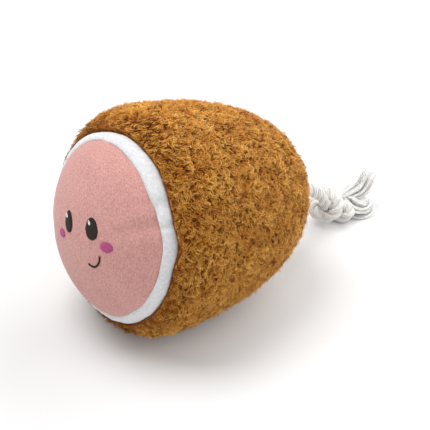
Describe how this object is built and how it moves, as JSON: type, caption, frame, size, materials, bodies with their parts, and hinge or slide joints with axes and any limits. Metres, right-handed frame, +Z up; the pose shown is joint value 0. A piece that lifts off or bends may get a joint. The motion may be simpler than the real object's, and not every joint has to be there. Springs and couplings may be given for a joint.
{
  "type": "rope tug toy",
  "caption": "Stuffed plush ham dog toy with curly fur, an embroidered pink face ringed in white fleece, a squeaker inside and a knotted cotton rope tail to tug.",
  "frame": {"origin": "on the floor, in the middle of the flat the stuffed body rests on", "axes": "+Z up, +Y along the body from the face towards the rope tail, +X to the right of someone who looks at the face"},
  "size_m": [0.1436, 0.2896, 0.1538],
  "materials": {
    "fur": "curly brown plush pile on a knitted backing",
    "face_velour": "short brushed pink velour",
    "ring_fleece": "white fleece",
    "dark_thread": "dark brown satin stitch",
    "white_thread": "white satin stitch",
    "cheek_thread": "magenta satin stitch",
    "binding_tape": "plain woven cotton tape",
    "stuffing": "loose polyester fibre",
    "cotton_rope": "laid white cotton rope, frayed at the end",
    "squeaker_plastic": "moulded soft plastic, satin"
  },
  "bodies": {
    "ham": {"face_panel": "face_velour", "fat_ring": "ring_fleece", "face_seam": "binding_tape", "ring_seam": "binding_tape", "fur_panel_top": "fur", "fur_panel_right": "fur", "fur_panel_bottom": "fur", "fur_panel_left": "fur", "panel_seam_upper_right": "binding_tape", "panel_seam_lower_right": "binding_tape", "panel_seam_lower_left": "binding_tape", "panel_seam_upper_left": "binding_tape", "eye_left": "dark_thread", "eye_right": "dark_thread", "glint_left": "white_thread", "glint_right": "white_thread", "cheek_left": "cheek_thread", "cheek_right": "cheek_thread", "mouth": "dark_thread", "anchor_patch": "binding_tape", "rope_anchor": "cotton_rope", "squeaker_base": "squeaker_plastic", "squeaker_bellows": "squeaker_plastic", "squeaker_reed_holder": "squeaker_plastic", "squeaker_reed": "squeaker_plastic", "stuffing_upper": "stuffing", "stuffing_lower": "stuffing"},
    "squeaker_cap": {"squeaker_top": "squeaker_plastic"},
    "neck": {"rope_neck": "cotton_rope"},
    "knot": {"rope_knot": "cotton_rope"},
    "strand_top": {"tassel_top": "cotton_rope"},
    "strand_right": {"tassel_right": "cotton_rope"},
    "strand_left": {"tassel_left": "cotton_rope"}
  },
  "joints": [
    {"name": "squeaker_squeeze", "type": "slide", "parent": "ham", "child": "squeaker_cap", "axis": [0, 0, -1], "range_m": [0, 0.008], "stiffness_N_per_m": 400, "deforming": ["squeaker_bellows"]},
    {"name": "rope_sway", "type": "hinge", "parent": "ham", "child": "neck", "pos_m": [0, 0.10923, 0.05628], "axis": [0, 0, 1], "range_deg": [-60, 60]},
    {"name": "knot_lift", "type": "hinge", "parent": "neck", "child": "knot", "pos_m": [-0.0019, 0.14123, 0.03348], "axis": [1, 0, 0], "range_deg": [0, 70]},
    {"name": "tassel_top_flop", "type": "hinge", "parent": "knot", "child": "strand_top", "pos_m": [-0.00647, 0.1802, 0.01366], "axis": [0.94, -0.341, -0.0088], "range_deg": [-8, 30], "stiffness_Nm_per_rad": 0.006},
    {"name": "tassel_right_flop", "type": "hinge", "parent": "knot", "child": "strand_right", "pos_m": [-0.00424, 0.17961, 0.00959], "axis": [0, 0, -1], "range_deg": [-8, 30], "stiffness_Nm_per_rad": 0.006},
    {"name": "tassel_left_flop", "type": "hinge", "parent": "knot", "child": "strand_left", "pos_m": [-0.00863, 0.1812, 0.00963], "axis": [0, 0, 1], "range_deg": [-8, 30], "stiffness_Nm_per_rad": 0.006}
  ]
}
